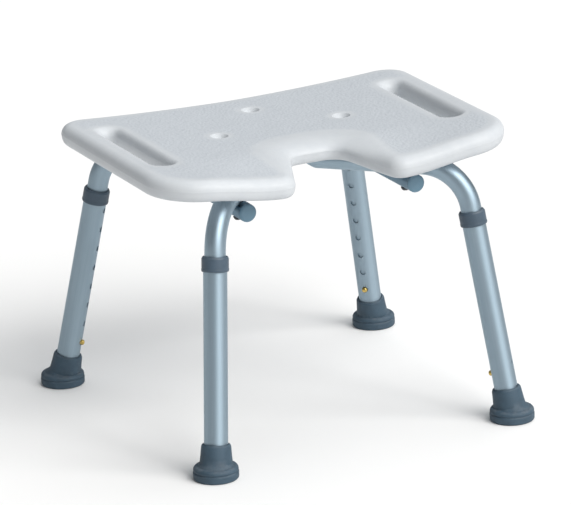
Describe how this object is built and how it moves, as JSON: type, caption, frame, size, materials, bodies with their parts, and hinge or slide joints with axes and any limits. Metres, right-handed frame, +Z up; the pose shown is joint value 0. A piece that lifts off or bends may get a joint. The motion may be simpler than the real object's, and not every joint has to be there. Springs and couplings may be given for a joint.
{
  "type": "shower stool",
  "caption": "Free-standing shower stool: moulded saddle seat with a front cut-out and hand slots, on an aluminium frame with telescopic legs and rubber feet.",
  "frame": {"origin": "on the floor, midway between the four feet", "axes": "+Z up, +X to the right seen from the front, the cut-out and the front towards -Y"},
  "size_m": [0.4898, 0.4696, 0.3581],
  "materials": {
    "seat_plastic": "off-white blow-moulded plastic, fine grained top, smooth satin rim",
    "aluminium": "satin anodised, drawn lengthways",
    "grey_plastic": "blue-grey moulded plastic, fine grain",
    "rubber": "dark slate-grey moulded rubber",
    "brass": "turned brass",
    "steel": "zinc-plated"
  },
  "bodies": {
    "frame": {"seat": "seat_plastic", "cross_tube_front_left": "aluminium", "cross_tube_front_right": "aluminium", "crossing_rivet": "steel", "rail_left": "aluminium", "rail_right": "aluminium", "rail_plug_front_left": "grey_plastic", "rail_plug_front_right": "grey_plastic", "rail_plug_back_left": "grey_plastic", "rail_plug_back_right": "grey_plastic", "seat_insert_front_left": "brass", "seat_insert_front_right": "brass", "seat_insert_back_left": "brass", "seat_insert_back_right": "brass", "seat_screw_front_left": "steel", "seat_screw_front_right": "steel", "seat_screw_back_left": "steel", "seat_screw_back_right": "steel", "screw_washer_front_left": "steel", "screw_washer_front_right": "steel", "screw_washer_back_left": "steel", "screw_washer_back_right": "steel", "button_spring_front_left": "steel", "button_spring_front_right": "steel", "button_spring_back_left": "steel", "button_spring_back_right": "steel"},
    "leg_front_left": {"leg_tube_front_left": "aluminium", "leg_collar_front_left": "grey_plastic", "leg_foot_front_left": "rubber", "foot_washer_front_left": "steel"},
    "button_front_left": {"snap_button_front_left": "brass"},
    "leg_front_right": {"leg_tube_front_right": "aluminium", "leg_collar_front_right": "grey_plastic", "leg_foot_front_right": "rubber", "foot_washer_front_right": "steel"},
    "button_front_right": {"snap_button_front_right": "brass"},
    "leg_back_left": {"leg_tube_back_left": "aluminium", "leg_collar_back_left": "grey_plastic", "leg_foot_back_left": "rubber", "foot_washer_back_left": "steel"},
    "button_back_left": {"snap_button_back_left": "brass"},
    "leg_back_right": {"leg_tube_back_right": "aluminium", "leg_collar_back_right": "grey_plastic", "leg_foot_back_right": "rubber", "foot_washer_back_right": "steel"},
    "button_back_right": {"snap_button_back_right": "brass"}
  },
  "joints": [
    {"name": "leg_slide_front_left", "type": "slide", "parent": "frame", "child": "leg_front_left", "axis": [-0.1067, -0.1454, -0.9836], "range_m": [0, 0.1778], "deforming": ["snap_button_front_left"]},
    {"name": "button_press_front_left", "type": "slide", "parent": "frame", "child": "button_front_left", "axis": [-0.7059, -0.6856, 0.1779], "range_m": [0, 0.0045], "stiffness_N_per_m": 1500, "springref_m": -0.001, "deforming": ["button_spring_front_left"]},
    {"name": "leg_slide_front_right", "type": "slide", "parent": "frame", "child": "leg_front_right", "axis": [0.1067, -0.1454, -0.9836], "range_m": [0, 0.1778], "deforming": ["snap_button_front_right"]},
    {"name": "button_press_front_right", "type": "slide", "parent": "frame", "child": "button_front_right", "axis": [0.7059, -0.6856, 0.1779], "range_m": [0, 0.0045], "stiffness_N_per_m": 1500, "springref_m": -0.001, "deforming": ["button_spring_front_right"]},
    {"name": "leg_slide_back_left", "type": "slide", "parent": "frame", "child": "leg_back_left", "axis": [-0.1664, 0.1442, -0.9755], "range_m": [0, 0.1778], "deforming": ["snap_button_back_left"]},
    {"name": "button_press_back_left", "type": "slide", "parent": "frame", "child": "button_back_left", "axis": [-0.694, 0.6856, 0.2197], "range_m": [0, 0.0045], "stiffness_N_per_m": 1500, "springref_m": -0.001, "deforming": ["button_spring_back_left"]},
    {"name": "leg_slide_back_right", "type": "slide", "parent": "frame", "child": "leg_back_right", "axis": [0.1664, 0.1442, -0.9755], "range_m": [0, 0.1778], "deforming": ["snap_button_back_right"]},
    {"name": "button_press_back_right", "type": "slide", "parent": "frame", "child": "button_back_right", "axis": [0.694, 0.6856, 0.2197], "range_m": [0, 0.0045], "stiffness_N_per_m": 1500, "springref_m": -0.001, "deforming": ["button_spring_back_right"]}
  ]
}
